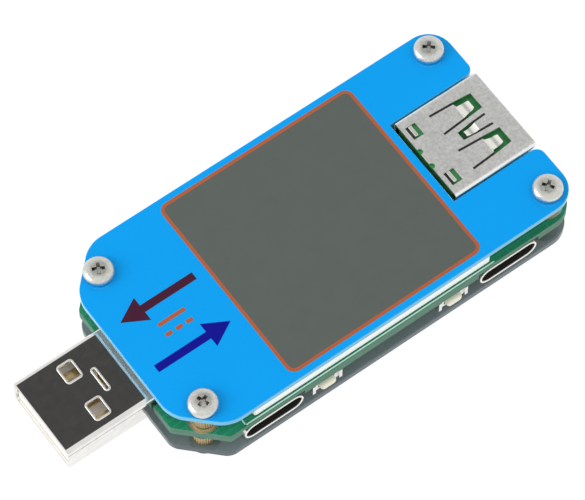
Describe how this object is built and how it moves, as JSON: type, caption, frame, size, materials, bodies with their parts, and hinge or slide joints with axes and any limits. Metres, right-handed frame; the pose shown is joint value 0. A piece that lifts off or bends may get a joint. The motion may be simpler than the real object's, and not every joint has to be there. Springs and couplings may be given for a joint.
{
  "type": "usb power meter",
  "caption": "In-line USB power meter: circuit board and display between two acrylic plates on brass spacers, with a USB-A plug, USB-A and USB-C sockets and side buttons.",
  "frame": {"origin": "under the middle of the outer box, at the level the rear screw heads rest on", "axes": "+X from the plug towards the USB-A socket, +Y towards the edge with the micro-USB socket, +Z out of the front panel"},
  "size_m": [0.0714, 0.031, 0.0122],
  "materials": {
    "blue_acrylic": "polished blue acrylic, printed on its face",
    "smoke_acrylic": "polished smoke-tinted acrylic",
    "green_board": "glass-fibre board under dark green solder mask",
    "white_plastic": "white moulded frame",
    "dark_glass": "dark display glass, switched off",
    "amber_film": "amber polyimide film",
    "polished_steel": "bright nickel-plated steel",
    "silver_steel": "satin nickel-plated steel",
    "bright_steel": "nickel-plated steel",
    "brass": "plain turned brass",
    "gold": "gold-plated contact strip",
    "cream_plastic": "cream moulded plastic",
    "green_plastic": "green moulded plastic",
    "black_plastic": "black moulded resin",
    "brown_ceramic": "brown ceramic"
  },
  "bodies": {
    "meter": {"front_panel": "blue_acrylic", "rear_panel": "smoke_acrylic", "main_board": "green_board", "display_housing": "white_plastic", "display_glass": "dark_glass", "display_ribbon": "amber_film", "front_screw_plug_near": "bright_steel", "front_screw_plug_far": "bright_steel", "front_screw_socket_near": "bright_steel", "front_screw_socket_far": "bright_steel", "rear_screw_plug_near": "bright_steel", "rear_screw_plug_far": "bright_steel", "rear_screw_socket_near": "bright_steel", "rear_screw_socket_far": "bright_steel", "upper_spacer_plug_near": "brass", "upper_spacer_plug_far": "brass", "upper_spacer_socket_near": "brass", "upper_spacer_socket_far": "brass", "lower_spacer_plug_near": "brass", "lower_spacer_plug_far": "brass", "lower_spacer_socket_near": "brass", "lower_spacer_socket_far": "brass", "plug_shell": "polished_steel", "plug_insulator": "cream_plastic", "plug_contact_1": "gold", "plug_contact_2": "gold", "plug_contact_3": "gold", "plug_contact_4": "gold", "socket_shell": "silver_steel", "socket_insulator": "green_plastic", "socket_contact_1": "gold", "socket_contact_2": "gold", "socket_contact_3": "gold", "socket_contact_4": "gold", "usb_c_input_shell": "silver_steel", "usb_c_input_tongue": "black_plastic", "usb_c_output_shell": "silver_steel", "usb_c_output_tongue": "black_plastic", "micro_usb_shell": "silver_steel", "micro_usb_tongue": "black_plastic", "near_button_1_base": "bright_steel", "near_button_2_base": "bright_steel", "far_button_1_base": "bright_steel", "far_button_2_base": "bright_steel", "microcontroller": "black_plastic", "memory_chip": "black_plastic", "sense_amplifier": "black_plastic", "shunt_resistor": "black_plastic", "voltage_regulator": "black_plastic", "clock_crystal": "silver_steel", "input_capacitor": "brown_ceramic"},
    "near_button_1": {"near_button_1_plunger": "cream_plastic"},
    "near_button_2": {"near_button_2_plunger": "cream_plastic"},
    "far_button_1": {"far_button_1_plunger": "cream_plastic"},
    "far_button_2": {"far_button_2_plunger": "cream_plastic"}
  },
  "joints": [
    {"name": "near_button_1_press", "type": "slide", "parent": "meter", "child": "near_button_1", "axis": [0, 1, 0], "range_m": [0, 0.00025], "stiffness_N_per_m": 6000},
    {"name": "near_button_2_press", "type": "slide", "parent": "meter", "child": "near_button_2", "axis": [0, 1, 0], "range_m": [0, 0.00025], "stiffness_N_per_m": 6000},
    {"name": "far_button_1_press", "type": "slide", "parent": "meter", "child": "far_button_1", "axis": [0, -1, 0], "range_m": [0, 0.00025], "stiffness_N_per_m": 6000},
    {"name": "far_button_2_press", "type": "slide", "parent": "meter", "child": "far_button_2", "axis": [0, -1, 0], "range_m": [0, 0.00025], "stiffness_N_per_m": 6000}
  ]
}
